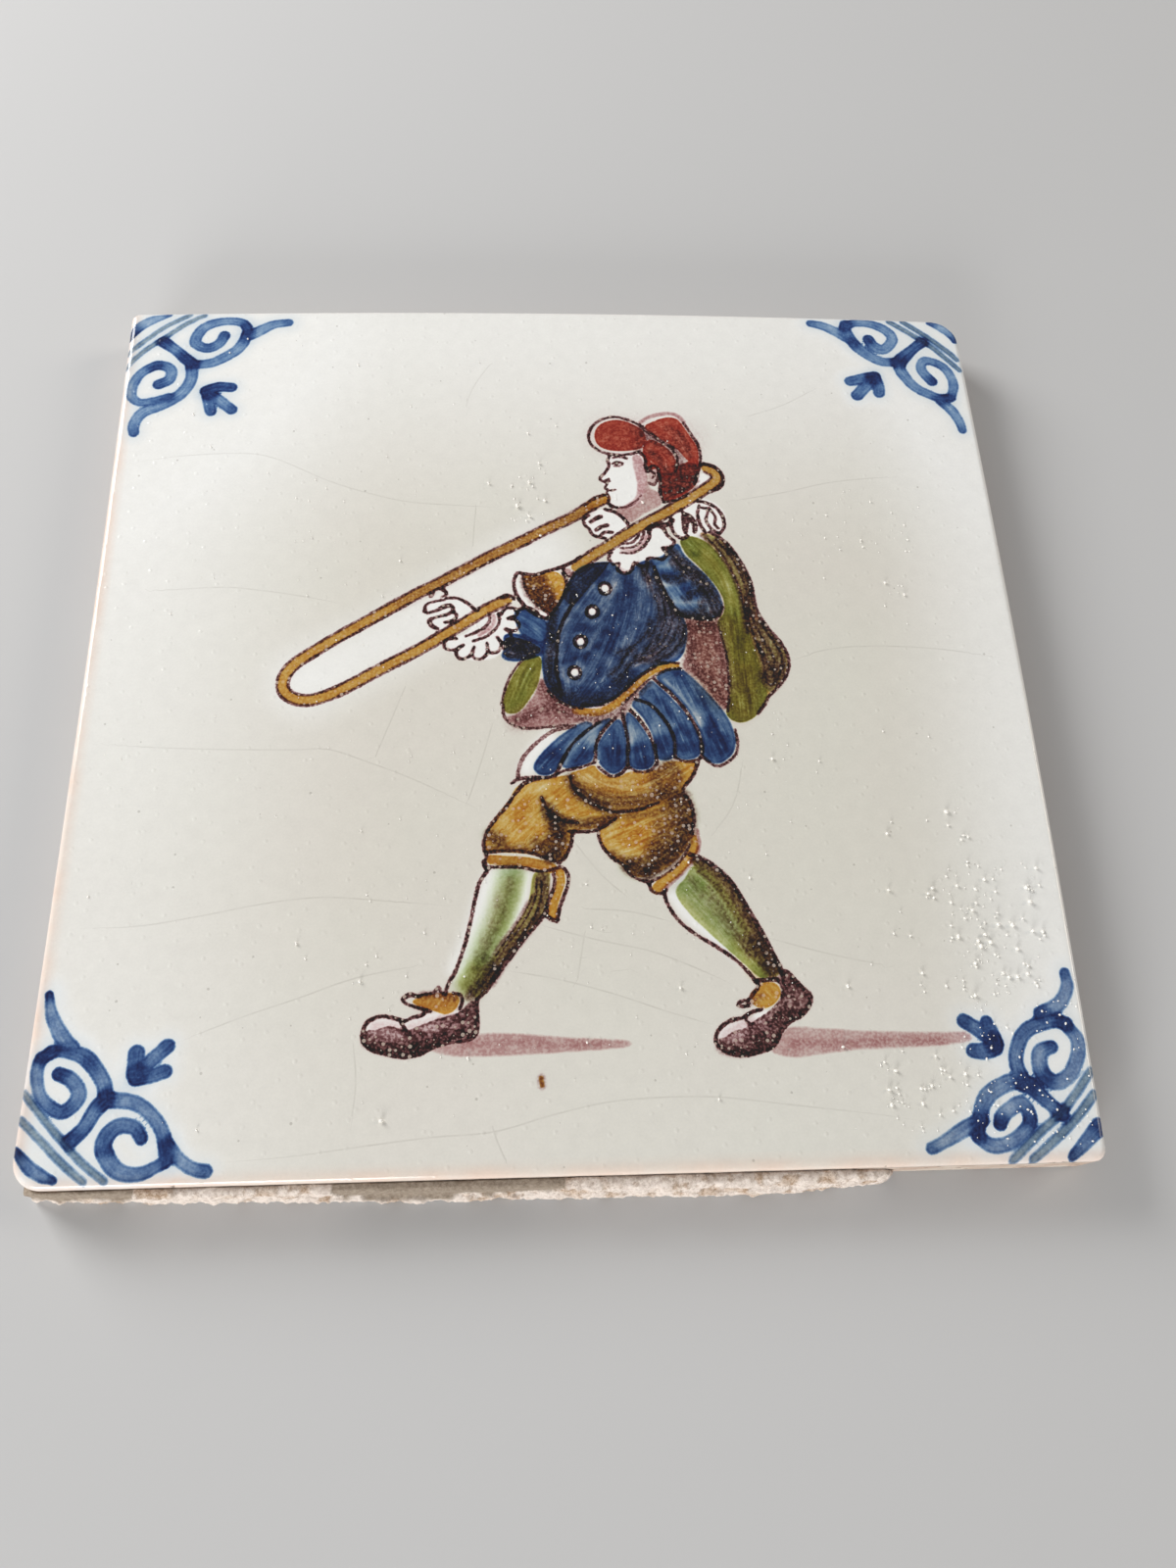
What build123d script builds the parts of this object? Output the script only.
from build123d import *
import os

# A hand-made tin-glazed earthenware wall tile that was taken off a wall, with old joint mortar
# still stuck along its front side. Millimetres, +Z up. The tile lies glazed face up on its bare
# back. The origin is on the back, under the middle of the nominal square; X runs along the
# front side and Y from the front side to the far side.

# Outline, cut by hand round a square board and warped a little in the kiln
front_width = 130.4
far_width = 130.2
depth = 130.0
far_skew = 0.3
left_hollow = 0.45
right_bow = 0.55
far_bow = 0.9

# Corners, worn by handling
far_left_radius = 1.2
far_right_radius = 4.0
front_left_radius = 3.5
front_right_radius = 1.5

# Section: clay body and glaze are fused in one piece
thickness = 7.5
crown = 0.25
lip_radius = 0.9
back_edge_radius = 0.5

# Joint mortar on the front side: where it starts and ends, counted from the tile's left and right
# corners, the gap it leaves under the glaze lip, and how far it wraps round the worn left corner
mortar_inset_left = 0.7
mortar_inset_right = 25.4
mortar_lip_gap = 0.3
mortar_wrap = 1.2

# The mortar's thickness on the tile's side, and how much further the broken rim at its foot goes
mortar_thickness = 1.6
mortar_rim = 0.6

# How the mortar runs from its left end (0) to its right end (1), all as shares: of that way, of
# the mortar's thickness, of the free height under the lip, of the rim, and the rim's height.
mortar_run = [
    (0.000, 0.22, 0.62, 0.25, 0.22),
    (0.022, 0.37, 0.90, 0.33, 0.25),
    (0.066, 0.44, 0.98, 0.42, 0.24),
    (0.112, 0.42, 0.97, 0.50, 0.30),
    (0.134, 0.59, 1.00, 0.33, 0.62),
    (0.176, 0.56, 0.94, 0.42, 0.55),
    (0.214, 0.66, 0.99, 0.50, 0.66),
    (0.262, 0.62, 0.93, 0.58, 0.58),
    (0.306, 0.72, 1.00, 0.67, 0.64),
    (0.338, 0.69, 0.98, 0.83, 0.34),
    (0.392, 0.75, 1.00, 0.92, 0.26),
    (0.446, 0.78, 0.99, 1.00, 0.30),
    (0.498, 0.81, 0.98, 1.00, 0.27),
    (0.560, 0.80, 0.99, 0.92, 0.31),
    (0.604, 0.78, 0.96, 1.00, 0.44),
    (0.640, 0.94, 1.00, 0.67, 0.70),
    (0.688, 0.89, 0.92, 0.83, 0.60),
    (0.734, 1.00, 0.97, 0.75, 0.68),
    (0.786, 0.95, 0.90, 1.00, 0.58),
    (0.830, 1.01, 0.98, 0.83, 0.66),
    (0.874, 0.91, 0.93, 0.92, 0.60),
    (0.916, 0.87, 0.99, 0.58, 0.64),
    (0.954, 0.75, 0.88, 0.50, 0.52),
    (0.984, 0.59, 0.80, 0.42, 0.46),
    (1.000, 0.28, 0.50, 0.25, 0.26),
]

front_y = -depth / 2
far_y = depth / 2


def tile_outline():
    """The hand-cut square: a straight front side and three sides that bow or hollow a little."""
    front_left = (-front_width / 2, front_y)
    front_right = (front_width / 2, front_y)
    far_right = (far_width / 2, far_y)
    far_left = (-far_width / 2, far_y + far_skew)
    middle_x = (front_width + far_width) / 4
    with BuildLine() as line:
        Line(front_left, front_right)
        ThreePointArc(front_right, (middle_x + right_bow, 0), far_right)
        ThreePointArc(far_right, (0, far_y + far_skew / 2 + far_bow), far_left)
        ThreePointArc(far_left, (-middle_x + left_hollow, far_skew / 2), front_left)
    return make_face(line.line)


def glaze_crown():
    """A large ball whose top is the gently crowned face, with its poles turned to the sides."""
    half_side = front_width / 2
    ball_radius = (half_side ** 2 + crown ** 2) / (2 * crown)
    return Pos(0, 0, thickness - ball_radius) * Rot(90, 0, 0) * Sphere(ball_radius)


def corner_edge(block, x_sign, y_sign):
    """The upright edge of the block that stands at one corner of the square."""
    upright = block.edges().filter_by(Axis.Z)
    return upright.sort_by(lambda edge: x_sign * edge.center().X + y_sign * edge.center().Y)[-1]


def tile_block():
    """The cut clay slab with its four worn corners, before the face and its edges are shaped."""
    block = extrude(tile_outline(), thickness)
    corners = [
        (-1, -1, front_left_radius),
        (1, -1, front_right_radius),
        (1, 1, far_right_radius),
        (-1, 1, far_left_radius),
    ]
    for x_sign, y_sign, radius in corners:
        block = fillet(corner_edge(block, x_sign, y_sign), radius)
    return block


def fired_tile(block):
    """The slab with its crowned face, its rounded glaze lip and its softened back edge."""
    body = block & glaze_crown()
    face = body.faces().sort_by(Axis.Z)[-1]
    body = fillet(face.edges(), lip_radius)
    back = body.faces().sort_by(Axis.Z)[0]
    return fillet(back.edges(), back_edge_radius)


def mortar_section(x, proud, top, rim, rim_top):
    """One cut through the mortar, from the tile's side out to its broken face."""
    face_y = front_y - proud
    rim_y = face_y - rim
    shoulder = min(proud, top - rim_top) / 3
    corners = [
        (x, front_y + mortar_wrap, 0),
        (x, rim_y, 0),
        (x, rim_y, rim_top * 2 / 3),
        (x, face_y, rim_top),
        (x, face_y, top - shoulder),
        (x, face_y + shoulder, top),
        (x, front_y + mortar_wrap, top),
    ]
    return make_face(Polyline(*corners, close=True))


def joint_mortar(block):
    """The crust of mortar, lofted through its sections and moulded against the tile's side."""
    left = -front_width / 2 + mortar_inset_left
    right = front_width / 2 - mortar_inset_right
    free_height = thickness - crown - lip_radius - mortar_lip_gap
    sections = []
    for way, proud, height, rim, rim_height in mortar_run:
        section = mortar_section(
            left + way * (right - left),
            proud * mortar_thickness,
            height * free_height,
            rim * mortar_rim,
            rim_height * free_height,
        )
        sections.append(section)
    crust = loft(sections, ruled=True)
    return crust - block


slab = tile_block()
tile = fired_tile(slab)
mortar_remains = joint_mortar(slab)

os.makedirs("parts", exist_ok=True)
export_step(tile, "parts/tile.step")
export_step(mortar_remains, "parts/mortar_remains.step")
